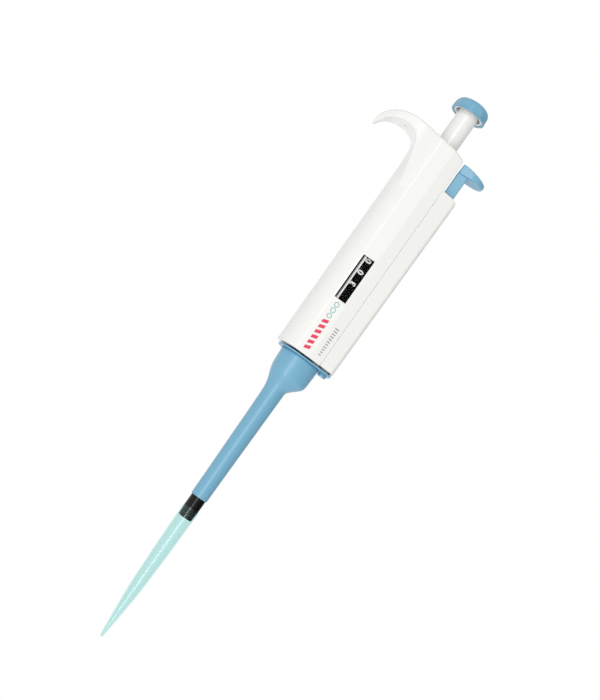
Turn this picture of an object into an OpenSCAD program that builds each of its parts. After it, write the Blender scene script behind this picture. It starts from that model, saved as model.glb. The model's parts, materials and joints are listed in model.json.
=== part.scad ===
// Adjustable air-displacement micropipette with finger hook, tip ejector, number drums and tip.
// Millimetres. +Z runs up the pipette's axis, the window faces -Y, the hook points to -X and the
// ejector button to +X. The origin is the end face of the tip cone, on the axis.

/* [Volume] */
// Largest volume, in microlitres
vol_max = 1000; // [900:10:1000]
// Volume that the drums show at rest, in microlitres
vol_set = 300; // [100:50:1000]
// Volume per turn of the knob, in microlitres
vol_turn = 50; // [40:1:60]
// Plunger travel for the largest volume
stroke_full = 14; // [13:0.1:14]
// Extra travel past the first stop that blows out the last drop
stroke_blow = 2; // [1.5:0.1:2.2]

/* [Tip and tip cone] */
// Length of the tip below the end of the tip cone
tip_below = 64.3; // [60:0.1:66]
// Length of the tip cone covered by the tip
tip_grip = 5.5; // [5:0.1:5.8]
// Radius of the tip cone's bare neck
neck_r = 3.675; // [3.66:0.005:3.68]
// Radius of the air passage through the tip cone
air_r = 1.5; // [1:0.1:2]

/* [Ejector] */
// Height of the ejector collar's lower edge
collar_z = 11; // [10.5:0.1:11.5]
// Top of the ejector collar's flange
flange_top = 88.7; // [88.5:0.1:88.9]
// Underside of the ejector button's plate
button_z = 196.4; // [196:0.1:197]
// How far the button's plate reaches from the axis
button_reach = 24.7; // [22:0.1:26]
// Distance of the ejector rod from the axis
rod_x = 13.5; // [13.4:0.05:13.6]

/* [Housing] */
// Lower edge of the housing
house_z = 89.5; // [89.3:0.1:89.8]
// Radius of the housing on the hook side
house_r = 12.5; // [12.4:0.05:12.6]
// Wall of the housing
house_wall = 1.5; // [1.3:0.1:1.6]
// Seam between the housing and the ejector cover, measured from the axis
seam_x = 10.1; // [10:0.05:10.2]
// Top of the ejector cover
cover_top = 184.4; // [180:0.1:185]
// Wall of the ejector cover
cover_wall = 1.1; // [1:0.05:1.2]
// Lower edge of the window
window_z = 118; // [117.8:0.1:118.2]
// Height of the window
window_h = 22.7; // [22.5:0.1:22.9]
// Width of the window
window_w = 5.9; // [5.5:0.1:6.2]

/* [Knob and stem] */
// Lower edge of the knob
knob_z = 220.7; // [220.5:0.1:222]
// Height of the knob
knob_h = 6.6; // [6.4:0.1:7]
// Radius over the knob's edges
knob_r = 8.55; // [8.4:0.05:8.7]
// Number of flats on the knob
knob_flats = 9; // [7:1:11]
// Radius of the stem
stem_r = 5.05; // [5:0.01:5.1]

/* [Hidden] */
$fn = 64;

fit = 0.05;                 // radial clearance of a running fit
eps = 0.01;                 // makes a cut pass through a face

// Plunger and cylinder: the bore is as wide as the largest volume asks for
bore_r = sqrt(vol_max / (PI * stroke_full));
travel = stroke_full + stroke_blow;
piston_r = bore_r - 0.07;
piston_z = 100;
piston_h = 5.4;
chamber_z = piston_z - travel - 1;
cyl_floor = 3;
cyl_z = chamber_z - cyl_floor;
cyl_top = 107;
cyl_r = 6.4;
cap_h = 2;
rod_r = 1.9;
spigot_r = 3.6;

// Counter
drum_r = 8.9;
drum_groove_r = 7.6;
drum_pitch = 6.05;
drum_gap = 0.2;
drum_rim = 4.3;
drums = 4;
plate_slack = 0.3;          // between the drums and the plates
counter_z = window_z + 0.5;
counter_top = counter_z + drums * drum_pitch;
plate_h = 1.8;
plate_gap = 0.15;           // between a plate and the housing
frame_foot = 96;
pillar_r = 0.9;
pillar_ring = 9.85;
pillar_at = [118, 160, 200, 242];
pinion_at = 138;
pinion_ring = 9.4;
pinion_r = 1.5;
pinion_h = 1.4;
shaft_r = 0.4;
sleeve_r = 3.6;
sleeve_in = 2.3;
thread_r = 4;
hex_flats = 7;              // across the flats of the sleeve's keyed end
hex_slack = 0.2;

// Springs and stops, from the counter upwards
seat_z = counter_top + plate_slack + plate_h;
seat_h = 1.4;
stop_z = 156;
stop_h = 2;
stop_tube_r = 7.2;
stop_in = 5.9;
washer_h = 1.45;
stem_z = 182;
washer_z = stem_z - fit - washer_h;
stop_top = washer_z - stroke_full;
stem_flange_h = 2;
bush_z = stem_z + stem_flange_h + fit;
bush_r = 7.2;
thread_top = stem_z - travel - 0.5;
pitch_per_turn = stroke_full * vol_turn / vol_max;
nut_h = 4;
nut_z = thread_top - 0.5 - nut_h - pitch_per_turn * (vol_set - 100) / vol_turn;
stem_top = knob_z + 2.8;
rod_top = stem_top - 1.6;
head_z = rod_top - 2.4;

// Housing outline
facet_a = [-3, -12.13];     // display facet, from edge to edge
facet_b = [4.3, -11.2];
seam_pt = [seam_x, -9.1];
strip_pt = [16.45, -7];
facet_tilt = atan2(facet_b.y - facet_a.y, facet_b.x - facet_a.x);
pocket_deep = 0.27;
channel_x = 9.2;            // inside face of the wall beside the ejector channel
channel_y = -8;             // where that face meets the cavity's front wall
cavity_top = 198.5;
ledge_z = 147.5;
ledge_h = 2.5;

// Smooth curve through the points p (Catmull-Rom), n steps between each two
function cr(a, b, c, d, t) = 0.5 * ((2 * b) + (c - a) * t + (2 * a - 5 * b + 4 * c - d) * t * t
    + (3 * b - a - 3 * c + d) * t * t * t);
function smooth(p, n = 6) = let (m = len(p) - 1)
    [for (i = [0:m - 1], j = [0:n - 1])
        cr(p[max(i - 1, 0)], p[i], p[i + 1], p[min(i + 2, m)], j / n), p[m]];
function flip(p) = [for (i = [len(p) - 1:-1:0]) [p[i].x, -p[i].y]];
function arc(r, a0, a1, n) = [for (i = [0:n]) let (a = a0 + (a1 - a0) * i / n) r * [cos(a), sin(a)]];

// Front half of the housing's section, from the hook side to the seam
function front(r, inset) = concat(
    arc(r, 180, 180 + acos(-facet_a.x / house_r), 14),
    [facet_b + inset * [0, 1], [seam_x, seam_pt.y + inset]]);

// Section of the housing's cavity, drawn in by a gap
function inner(gap) = let (half = concat(
    arc(house_r - house_wall - gap, 180, 180 + acos(-facet_a.x / house_r), 14),
    [facet_b + (house_wall + gap) * [0, 1], [channel_x - gap, channel_y + gap]]))
    concat(half, flip(half));

// Solid between a profile in X and Z and a given half-width in Y
module side_cut(points, half) {
    rotate([90, 0, 0]) translate([0, 0, -half]) linear_extrude(2 * half) polygon(points);
}

// Straight tube
module tube(r_out, r_in, h) {
    difference() {
        cylinder(r = r_out, h = h);
        translate([0, 0, -eps]) cylinder(r = r_in, h = h + 2 * eps);
    }
}

// Round-wire compression spring with flat-lying ends, standing on z = 0
function coil_z(t, turns, wire, h) =
    wire / 2 + (h - wire) * min(max((t * turns - 0.75) / (turns - 1.5), 0), 1);
module coil_spring(r, wire, h, turns) {
    steps = 14 * turns;
    sides = 6;
    points = [for (i = [0:steps], j = [0:sides - 1])
        let (a = 360 * turns * i / steps, b = 360 * j / sides, w = wire / 2 * 0.98)
        [(r + w * cos(b)) * cos(a), (r + w * cos(b)) * sin(a),
            coil_z(i / steps, turns, wire, h) + w * sin(b)]];
    walls = [for (i = [0:steps - 1], j = [0:sides - 1])
        let (a = i * sides + j, b = i * sides + (j + 1) % sides)
        [a, a + sides, b + sides, b]];
    polyhedron(points, concat([[for (j = [0:sides - 1]) j]], walls,
        [[for (j = [sides - 1:-1:0]) steps * sides + j]]), convexity = 10);
}

module tip() {
    // Outside, from the orifice up: radius against height
    outside = smooth([[0.65, -64.3], [0.85, -63], [1.2, -59.8], [1.55, -56.3], [2.2, -48.9],
        [2.8, -41.7], [3.12, -36], [3.25, -30.9], [3.5, -23.3], [3.7, -16.3], [3.8, -8], [3.95, -1.9]], 3);
    inside = [[neck_r + fit, tip_grip + eps], [neck_r + fit, tip_grip - 0.6], [3.5, -0.1], [3.3, -0.8],
        [3.2, -14], [2.95, -24], [2.72, -36], [2.25, -42], [1.6, -49], [1.05, -56], [0.7, -60],
        [0.4, -63], [0.4, -tip_below - eps]];
    color([0.62, 0.88, 0.84, 0.6]) difference() {
        rotate_extrude() polygon(concat([[0, -tip_below]], outside,
            [[4.1, 2.6], [4.1, 4], [3.72, tip_grip], [0, tip_grip]]));
        rotate_extrude() polygon(concat([[0, tip_grip + eps]], inside, [[0, -tip_below - eps]]));
    }
}

module tip_cone() {
    color([0.06, 0.06, 0.065]) difference() {
        rotate_extrude() polygon([[0, 0], [3.1, 0], [3.4, 0.35], [3.42, 1.4], [2.95, 1.4],
            [2.95, 2.6], [3.45, 2.6], [neck_r - 0.02, tip_grip - 0.6], [neck_r, tip_grip],
            [neck_r, 13], [3.4, 14], [3.4, cyl_z - 4], [5.6, cyl_z - 2], [5.6, cyl_z],
            [spigot_r, cyl_z], [spigot_r, chamber_z], [0, chamber_z]]);
        translate([0, 0, -eps]) cylinder(r = air_r, h = chamber_z + 2 * eps);
    }
}

// Soft ring in the groove that seals the tip
module cone_ring() {
    color([0.25, 0.26, 0.27]) translate([0, 0, 1.4])
        difference() {
            rotate_extrude() translate([2.95, 0]) polygon([[0, 0.05], [0.4, 0.05], [0.53, 0.35],
                [0.53, 0.85], [0.4, 1.15], [0, 1.15]]);
            translate([0, 0, -eps]) cylinder(r = 2.95, h = 2);
        }
}

module ejector_collar() {
    tube_top = 68.7;
    flare_top = 79.5;
    outside = [[4.05, collar_z], [4.15, 14.3], [4.25, 28.7], [4.45, 43.7], [4.6, 57.7],
        [4.85, tube_top]];
    color([0.45, 0.66, 0.8]) difference() {
        union() {
            rotate_extrude() polygon(concat([[0, collar_z]], outside, [[0, tube_top]]));
            hull() {
                translate([0, 0, tube_top - 1]) cylinder(r = 4.8, h = 1, $fn = 36);
                translate([0.2, 0, 72.5]) cylinder(r = 5.9, h = 0.5, $fn = 36);
                translate([1.4, 0, flare_top]) cylinder(r = 9.4, h = 0.5, $fn = 36);
            }
            hull() {
                translate([1.4, 0, flare_top]) cylinder(r = 9.4, h = 0.5, $fn = 36);
                translate([1.4, 0, flange_top - 2]) cylinder(r = 9.7, h = 1, $fn = 36);
            }
            translate([0, 0, flange_top - 1.2]) linear_extrude(1.2) hull() {
                circle(r = 10.4, $fn = 36);
                translate([11, 0]) square([10, 12], center = true);
            }
        }
        translate([0, 0, collar_z - eps]) cylinder(r = neck_r + fit, h = 80);
        hull() {
            translate([0, 0, tube_top]) cylinder(r = neck_r + fit, h = 0.5, $fn = 36);
            translate([0.2, 0, 73.5]) cylinder(r = 4.9, h = 0.5, $fn = 36);
            translate([1, 0, flare_top]) cylinder(r = 8, h = 0.5, $fn = 36);
            translate([1, 0, flange_top + 1]) cylinder(r = 8.2, h = 0.5, $fn = 36);
        }
        translate([rod_x, 0, flange_top - 3]) cylinder(r = 0.7, h = 5);
    }
}

module ejector_arm() {
    color("gainsboro") difference() {
        union() {
            translate([rod_x - 1.6, -3, flange_top]) cube([3.2, 6, ledge_z - 0.3 - flange_top]);
            translate([rod_x, 0, ledge_z - 0.5]) cylinder(r = 1.6, h = 182 - ledge_z + 0.5);
        }
        translate([rod_x, 0, flange_top - eps]) cylinder(r = 0.7, h = 8);
    }
}

module arm_screw() {
    color("silver") difference() {
        union() {
            translate([rod_x, 0, flange_top - 2.2]) cylinder(r = 1.4, h = 1);
            translate([rod_x, 0, flange_top - 1.3]) cylinder(r = 0.7, h = 8.5);
        }
        translate([rod_x - 1.5, -0.2, flange_top - 2.2 - eps]) cube([3, 0.4, 0.4]);
    }
}

module ejector_button() {
    stem_low = 176;
    top = [[11, button_z], [11, 200.6], [12.5, 200.9], [16, 200.5], [21, 199.4], [24, 198.6],
        [button_reach, 197.9], [button_reach - 0.2, 196.9], [button_reach - 0.9, button_z]];
    plan = concat([[11, 4.6]], smooth([[11, 4.6], [14, 5.1], [18, 5.3], [21.5, 4.5], [23.8, 2.6],
        [button_reach, 0]], 5), flip(smooth([[11, 4.6], [14, 5.1], [18, 5.3], [21.5, 4.5],
        [23.8, 2.6], [button_reach, 0]], 5)));
    color([0.45, 0.66, 0.8]) difference() {
        union() {
            intersection() {
                side_cut(top, 8);
                translate([0, 0, button_z - 1]) linear_extrude(6) polygon(plan);
            }
            translate([11, -4.2, stem_low]) cube([5.1, 8.4, button_z + 1 - stem_low]);
        }
        translate([rod_x, 0, stem_low - eps]) cylinder(r = 1.6, h = 6 + eps);
    }
}

module ejector_spring() {
    color("silver") translate([rod_x, 0, ledge_z + ledge_h])
        coil_spring(2.4, 0.6, 176 - ledge_z - ledge_h, 12);
}

// Upper edge of the handle, from the hook's point over the arch to the seam
arch = smooth([[-33.9, 194.9], [-33.5, 197.6], [-32, 200.6], [-29.4, 203], [-26, 204.6],
    [-22, 205.5], [-18, 205.7], [-13.6, 205.2], [-10, 204.6], [-4.9, 203.1], [0, 202.4],
    [5, 201.8], [seam_x, 200.4]], 4);
// Underside of the hook, from the body out to the point
under = smooth([[-11.4, 187], [-12.4, 193], [-13.6, 197.3], [-16, 200.2], [-21, 201.35],
    [-25.5, 200.9], [-28.5, 199.3], [-31, 197.1], [-32.3, 194.7]], 4);

module housing() {
    outline = concat(front(house_r, 0), flip(front(house_r, 0)));
    plan = smooth([[-33.9, 0], [-33.2, -1.8], [-31, -3.2], [-28.5, -4.7], [-26, -6], [-21, -7.5],
        [-16, -8.2], [-9, -8.6], [-4, -9]], 4);
    mid = (facet_a + facet_b) / 2;
    color("white") difference() {
        union() {
            intersection() {
                translate([0, 0, house_z]) linear_extrude(130) polygon(outline);
                side_cut(concat([[-20, house_z]], [[-20, 205.6]],
                    [for (p = arch) if (p.x > -17) p], [[seam_x, house_z]]), 20);
            }
            intersection() {
                side_cut(concat(arch, [[seam_x, 187]], under, [[-33.1, 193.9]]), 20);
                translate([0, 0, 180]) linear_extrude(40) polygon(concat(plan, flip(plan)));
            }
            // Ledge that the ejector spring stands on
            translate([channel_x, -3.9, ledge_z]) cube([16.2 - channel_x, 7.8, ledge_h]);
        }
        translate([0, 0, house_z + 1.7]) linear_extrude(cavity_top - house_z - 1.7)
            polygon(inner(0));
        translate([0, 0, house_z - 1]) cylinder(r = cyl_r + 0.3, h = 5);
        translate([0, 0, cavity_top - 1]) cylinder(r = bush_r, h = 3);
        translate([0, 0, cavity_top]) cylinder(r = 6.2, h = 20);
        // Window: a shallow flat pocket, then the opening that holds the lens
        translate([mid.x, mid.y, 0]) rotate([0, 0, facet_tilt]) {
            translate([-6, -3 + pocket_deep, window_z - 0.7]) cube([12, 3, window_h + 1.5]);
            translate([-window_w / 2, -3, window_z]) cube([window_w, 8, window_h]);
        }
        translate([rod_x, 0, ledge_z - 1]) cylinder(r = 1.6 + fit, h = ledge_h + 2);
        // Slot under the hook
        translate([-22, -0.35, 198]) cube([3, 0.7, 4.6]);
    }
}

// Outer outline of the ejector cover, or of the hollow in it
function strip(inset) = let (s = (strip_pt.y - seam_pt.y) / (strip_pt.x - seam_x))
    [[seam_x, seam_pt.y + inset], [20, seam_pt.y + inset + s * (20 - seam_x)]];

module ejector_cover() {
    lean = atan(1.15 / (cover_top - house_z));
    out_r = 26;
    module block(inset) {
        intersection() {
            linear_extrude(130) polygon(concat(strip(inset), flip(strip(inset))));
            rotate([0, lean, 0]) translate([17.5 - inset - out_r, 0, -5]) cylinder(r = out_r, h = 140, $fn = 96);
        }
    }
    color("white") translate([0, 0, house_z]) difference() {
        intersection() {
            block(0);
            side_cut(concat([[seam_x + fit, 0], [20, 0]],
                [[20, cover_top - house_z - 3.2], [17.6, cover_top - house_z - 0.9],
                [16.2, cover_top - house_z], [seam_x + fit, cover_top - house_z]]), 20);
        }
        translate([-1, 0, -1]) block(cover_wall);
        translate([0, 0, -1]) block(cover_wall);
    }
}

module window_lens() {
    mid = (facet_a + facet_b) / 2;
    lens_h = 1.15;
    color([0.2, 0.2, 0.22, 0.4]) translate([mid.x, mid.y, window_z]) rotate([0, 0, facet_tilt])
        translate([-window_w / 2, pocket_deep + 0.1, 0]) cube([window_w, lens_h, window_h]);
}

module top_bush() {
    color("gainsboro") translate([0, 0, bush_z]) tube(bush_r, stem_r + fit, cavity_top + 2 - bush_z);
}

module cylinder_barrel() {
    color([0.12, 0.12, 0.13]) difference() {
        union() {
            translate([0, 0, cyl_z]) cylinder(r = cyl_r, h = cyl_top - cyl_z);
            translate([0, 0, house_z + 1.7]) cylinder(r = 8.9, h = 2);
        }
        translate([0, 0, chamber_z]) cylinder(r = bore_r, h = cyl_top);
        translate([0, 0, cyl_z - eps]) cylinder(r = spigot_r, h = cyl_floor + 2 * eps);
    }
}

module cylinder_cap() {
    color("dimgray") translate([0, 0, cyl_top]) tube(cyl_r, rod_r + fit, cap_h);
}

module clamp_ring() {
    color("silver") translate([0, 0, house_z + 3.7]) tube(8.9, cyl_r, frame_foot - house_z - 3.7);
}

// Plate that follows the inside of the housing
module frame_plate(z) {
    translate([0, 0, z]) linear_extrude(plate_h) polygon(inner(plate_gap));
}

module counter_frame() {
    low = counter_z - plate_slack - plate_h;
    high = counter_top + plate_slack;
    color("dimgray") difference() {
        union() {
            frame_plate(low);
            frame_plate(high);
            for (a = pillar_at) rotate(a) translate([pillar_ring, 0, low])
                cylinder(r = pillar_r, h = high - low + plate_h);
            for (a = [70, 172, 290]) rotate(a) translate([7.7, 0, frame_foot])
                cylinder(r = 1.1, h = low - frame_foot + plate_h / 2);
        }
        translate([0, 0, low - eps]) cylinder(r = sleeve_r + 2 * fit, h = high - low + plate_h + 1);
        rotate(pinion_at) translate([pinion_ring, 0, low - eps]) cylinder(r = shaft_r, h = high - low + plate_h + 1);
        for (a = pillar_at) rotate(a) translate([pillar_ring, 0, high + plate_h - 3])
            cylinder(r = 0.45, h = 4);
    }
}

module frame_screws() {
    color("silver") for (a = pillar_at) rotate(a) translate([pillar_ring, 0, seat_z]) difference() {
        union() {
            translate([0, 0, -3]) cylinder(r = 0.45, h = 3.2);
            cylinder(r = 0.95, h = 0.7);
        }
        translate([-1, -0.15, 0.4]) cube([2, 0.3, 1]);
    }
}

module pinion_shaft() {
    color("silver") rotate(pinion_at) translate([pinion_ring, 0, counter_z - plate_slack - plate_h])
        cylinder(r = shaft_r, h = drums * drum_pitch + 2 * (plate_slack + plate_h));
}

// One number drum: a numbered rim with a toothed groove above and below it
module drum(i) {
    h = drum_pitch - drum_gap;
    margin = (h - drum_rim) / 2;
    color([0.05, 0.05, 0.055]) translate([0, 0, counter_z + i * drum_pitch + drum_gap / 2]) difference() {
        union() {
            cylinder(r = drum_groove_r, h = h);
            translate([0, 0, margin]) cylinder(r = drum_r, h = drum_rim);
            for (k = [0:19]) rotate(18 * k) translate([drum_groove_r - 0.3, -0.25, 0]) cube([0.5, 0.5, margin + 0.1]);
        }
        translate([0, 0, -eps]) cylinder(r = sleeve_r + fit, h = h + 1);
        for (s = [-1, 1]) translate([0, 0, s > 0 ? h - 0.4 : -1 + 0.4]) tube(6.4, 4.8, 1);
    }
}

// Six-toothed wheel between drum i and the drum above it
module pinion(i) {
    color("tan") rotate(pinion_at)
        translate([pinion_ring, 0, counter_z + (i + 1) * drum_pitch - pinion_h / 2]) difference() {
            union() {
                cylinder(r = 1, h = pinion_h);
                for (k = [0:5]) rotate(60 * k) translate([0, -0.25, 0]) cube([pinion_r, 0.5, pinion_h]);
            }
            translate([0, 0, -eps]) cylinder(r = shaft_r + fit, h = pinion_h + 1);
        }
}

module drive_sleeve() {
    low = cyl_top + cap_h + 2;
    hex_z = thread_top;
    hex_top = 196;
    color("goldenrod") difference() {
        union() {
            translate([0, 0, low]) cylinder(r = sleeve_r, h = seat_z + seat_h - low + 2);
            translate([0, 0, seat_z + seat_h + 0.5]) cylinder(r = thread_r, h = thread_top - seat_z - seat_h - 0.5);
            translate([0, 0, hex_z]) cylinder(r = hex_flats / 2 / cos(30), h = hex_top - hex_z, $fn = 6);
        }
        translate([0, 0, low - 1]) cylinder(r = sleeve_in, h = hex_top);
        // Thread relief, one groove for each turn's rise
        for (z = [seat_z + seat_h + 2:2 * pitch_per_turn:thread_top - 1]) translate([0, 0, z])
            tube(thread_r + 1, thread_r - 0.2, pitch_per_turn / 2);
    }
}

module volume_nut() {
    color("ivory") translate([0, 0, nut_z]) difference() {
        union() {
            cylinder(r = 5.3, h = nut_h);
            for (a = [0, 180]) rotate(a) translate([4.5, -0.8, 0]) cube([1.1, 1.6, nut_h]);
        }
        translate([0, 0, -eps]) cylinder(r = thread_r + fit, h = nut_h + 1);
    }
}

// Steel clip that holds the blow-out spring squeezed under the stop ring
module spring_cage() {
    leg = [-3.5, 1.5];
    color("lightsteelblue") difference() {
        union() {
            translate([0, 0, seat_z]) cylinder(r = 8.6, h = seat_h);
            for (s = [-1, 1]) translate([leg[0], s > 0 ? 7 : -9.9, seat_z]) cube([leg[1] - leg[0], 2.9, seat_h]);
            for (s = [-1, 1]) translate([leg[0], s > 0 ? 9.3 : -9.9, seat_z])
                cube([leg[1] - leg[0], 0.6, stop_z + stop_h + 1 - seat_z]);
            for (s = [-1, 1]) translate([leg[0], s > 0 ? 8.6 : -9.9, stop_z + stop_h + fit])
                cube([leg[1] - leg[0], 1.3, 0.9]);
        }
        translate([0, 0, seat_z - 1]) cylinder(r = sleeve_r + 0.3, h = 4);
    }
}

module stop_ring() {
    color("gray") {
        translate([0, 0, stop_z]) difference() {
            union() {
                cylinder(r = 9, h = stop_h);
                cylinder(r = stop_tube_r, h = stop_top - stop_z);
            }
            translate([0, 0, -eps]) cylinder(r = stop_in, h = 20);
        }
    }
}

module blowout_spring() {
    color("silver") translate([0, 0, seat_z + seat_h]) coil_spring(7.3, 1.2, stop_z - seat_z - seat_h, 5);
}

module main_spring() {
    color("silver") translate([0, 0, stop_z + stop_h]) coil_spring(7.85, 0.8, washer_z - stop_z - stop_h, 8);
}

module thrust_washer() {
    color("ivory") translate([0, 0, washer_z]) tube(8.6, 5.8, washer_h);
}

module push_rod() {
    color("silver") difference() {
        translate([0, 0, piston_z + 3]) cylinder(r = rod_r, h = rod_top - piston_z - 3);
        translate([0, 0, head_z + fit]) tube(3, 1.3, 0.6);
    }
}

module rod_clip() {
    color("dimgray") translate([0, 0, head_z + fit]) difference() {
        tube(3.4, 1.3, 0.6);
        translate([0, -0.9, -1]) cube([5, 1.8, 3]);
    }
}

module piston() {
    groove = 2.2;
    color("white") translate([0, 0, piston_z]) difference() {
        union() {
            cylinder(r = piston_r, h = 1.6);
            cylinder(r = piston_r - 1, h = piston_h);
            translate([0, 0, 1.6 + groove]) cylinder(r = piston_r, h = piston_h - 1.6 - groove);
        }
        translate([0, 0, 3]) cylinder(r = rod_r, h = 5);
    }
}

module piston_ring() {
    color([0.2, 0.2, 0.2]) translate([0, 0, piston_z + 1.6]) difference() {
        rotate_extrude() polygon([[0, 0], [piston_r - 0.1, 0], [bore_r - 0.02, 0.5],
            [bore_r - 0.02, 1.7], [piston_r - 0.1, 2.2], [0, 2.2]]);
        translate([0, 0, -1]) cylinder(r = piston_r - 1, h = 5);
    }
}

module stem() {
    color("white") difference() {
        union() {
            translate([0, 0, stem_z]) cylinder(r = 7, h = stem_flange_h);
            translate([0, 0, stem_z]) cylinder(r = stem_r, h = stem_top - stem_z);
        }
        translate([0, 0, stem_z - eps]) cylinder(r = (hex_flats + hex_slack) / 2 / cos(30), h = 32, $fn = 6);
        translate([0, 0, stem_z]) cylinder(r = rod_r + fit, h = 60);
        translate([0, 0, head_z]) cylinder(r = 3.8, h = 10);
    }
}

module knob() {
    lip_h = 0.8;
    dome = smooth([[knob_r, 1], [8.4, 2.6], [7.95, 4.2], [6.9, 5.5], [4.6, 6.35], [0, knob_h]], 4);
    color([0.45, 0.66, 0.8]) translate([0, 0, knob_z]) difference() {
        union() {
            rotate_extrude() polygon([[0, 0], [knob_r - 0.25, 0], [knob_r, 0.25],
                [knob_r, lip_h - 0.2], [knob_r - 0.2, lip_h], [0, lip_h]]);
            intersection() {
                rotate_extrude() polygon(concat([[0, lip_h / 2], [knob_r, lip_h / 2]], dome));
                rotate(-95.2) cylinder(r = knob_r + 0.12, h = knob_h + 1, $fn = knob_flats);
            }
        }
        translate([0, 0, -eps]) cylinder(r = stem_r, h = 2.8 + eps);
        translate([0, 0, -eps]) tube(7.3, stem_r, 1.9);
    }
}

module knob_ring() {
    color("white") translate([0, 0, knob_z + 0.25]) tube(7.3, 6.25, 1.64);
}

tip();
tip_cone();
cone_ring();
ejector_collar();
ejector_arm();
arm_screw();
ejector_button();
ejector_spring();
housing();
ejector_cover();
window_lens();
top_bush();
cylinder_barrel();  // cylinder
cylinder_cap();
clamp_ring();
counter_frame();
frame_screws();
pinion_shaft();
drum(3);  // units_drum
drum(2);  // tens_drum
drum(1);  // hundreds_drum
drum(0);  // thousands_drum
pinion(2);  // tens_pinion
pinion(1);  // hundreds_pinion
pinion(0);  // thousands_pinion
drive_sleeve();
volume_nut();
spring_cage();
stop_ring();
blowout_spring();
main_spring();
thrust_washer();
push_rod();
rod_clip();
piston();
piston_ring();
stem();
knob();
knob_ring();
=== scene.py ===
# %% [markdown]
# # A micropipette in cells
# This notebook dresses a measured model of an adjustable micropipette. The frame holds every part
# at its real size and place; the cells below give the outside parts their moulded shapes and every
# part its finish. Lengths are thought of in millimetres and handed to Blender in metres.

# %% Load the frame
import json
import math

import bmesh
import bpy
import numpy as np
from mathutils import Matrix, Vector


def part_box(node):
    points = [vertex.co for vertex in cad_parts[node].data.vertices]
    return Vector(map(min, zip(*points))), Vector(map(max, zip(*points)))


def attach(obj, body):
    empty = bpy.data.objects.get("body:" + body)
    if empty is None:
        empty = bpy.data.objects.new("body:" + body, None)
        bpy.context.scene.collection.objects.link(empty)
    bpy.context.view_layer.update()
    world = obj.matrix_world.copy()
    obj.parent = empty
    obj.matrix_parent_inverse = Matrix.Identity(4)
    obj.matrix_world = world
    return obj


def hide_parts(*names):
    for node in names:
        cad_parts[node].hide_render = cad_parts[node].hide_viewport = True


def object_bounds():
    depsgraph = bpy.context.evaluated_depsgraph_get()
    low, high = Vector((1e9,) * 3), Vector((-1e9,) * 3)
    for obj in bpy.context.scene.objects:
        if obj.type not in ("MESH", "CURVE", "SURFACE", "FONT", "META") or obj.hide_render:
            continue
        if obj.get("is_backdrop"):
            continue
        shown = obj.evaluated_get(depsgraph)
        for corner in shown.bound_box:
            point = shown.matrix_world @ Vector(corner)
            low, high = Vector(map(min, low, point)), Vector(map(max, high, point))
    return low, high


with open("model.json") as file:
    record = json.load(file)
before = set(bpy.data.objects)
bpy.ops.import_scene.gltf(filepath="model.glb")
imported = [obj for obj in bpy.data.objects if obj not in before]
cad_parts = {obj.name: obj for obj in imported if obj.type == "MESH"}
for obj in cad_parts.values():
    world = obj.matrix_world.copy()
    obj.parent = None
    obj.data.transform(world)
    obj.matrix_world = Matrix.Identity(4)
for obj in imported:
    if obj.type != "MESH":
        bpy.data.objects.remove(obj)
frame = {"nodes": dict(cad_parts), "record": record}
cad_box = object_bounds()
MM = 0.001
print("parts in the frame:", len(frame["nodes"]))

# %% [markdown]
# ## Where things are
# The frame says where each part sits. Two corners of a part's box, turned into millimetres, are
# enough to place everything else, so a change in the frame carries through to the looks.

# %% Sizes read from the frame
def ends(node):
    """Lowest and highest corner of a part, in millimetres."""
    low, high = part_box(node)
    return np.array(low) / MM, np.array(high) / MM


TIP_LOW, TIP_RIM = ends("tip")[0][2], ends("tip")[1][2]
HOUSE_LOW = ends("housing")[0][2]
COLLAR_LOW, FLANGE_TOP = ends("ejector_collar")[0][2], ends("ejector_collar")[1][2]
COVER_TOP = ends("ejector_cover")[1][2]
KNOB_LOW, KNOB_TOP = ends("knob")[0][2], ends("knob")[1][2]
LENS_LOW, LENS_TOP = ends("window_lens")[0][2], ends("window_lens")[1][2]
DRUM_R = ends("units_drum")[1][0]
BUTTON_BASE = ends("ejector_button")[0][2]
ROD_LOW, ROD_HIGH = ends("ejector_spring")
print("length with tip:", round(KNOB_TOP - TIP_LOW, 1), "mm")


def put(name, data):
    """A new object with this data, linked to the scene."""
    made = bpy.data.objects.new(name, data)
    bpy.context.scene.collection.objects.link(made)
    return made


# %% [markdown]
# ## The camera
# The pipette floats with its axis leaning 35 degrees to the right. The lens looks at it from level
# with the slim part of the ejector sleeve, so the knob is seen a little from below. The camera rolls by
# the lean instead of the part, and a small shift keeps the handle's long edges close to parallel.

# %% Camera
LEAN, AIM_SIDE, AIM_UP = math.radians(35.25), math.radians(1.68), math.radians(1.34)
EYE = (0.6, -549.5, 33.4)

cam_data = bpy.data.cameras.new("camera")
cam_data.sensor_width = 36
cam_data.lens = 63.17
cam_data.shift_x, cam_data.shift_y = 0.12, 0.09
camera = put("camera", cam_data)
camera.location = Vector(EYE) * MM
level = math.cos(AIM_UP)
look = Vector((-math.sin(AIM_SIDE) * level, math.cos(AIM_SIDE) * level, math.sin(AIM_UP)))
camera.rotation_mode = "QUATERNION"
roll = Matrix.Rotation(LEAN, 3, "Z").to_quaternion()
camera.rotation_quaternion = look.to_track_quat("-Z", "Y") @ roll
bpy.context.scene.camera = camera
print("lens", round(cam_data.lens, 1), "mm")

# %% [markdown]
# ## Shader sums
# Node trees are easier to read as sums. A Wire wraps a socket, so that `1 - mask * 0.2` adds the
# Math nodes it needs. A Finish is a material whose `node` method makes every other kind of node.

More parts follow.
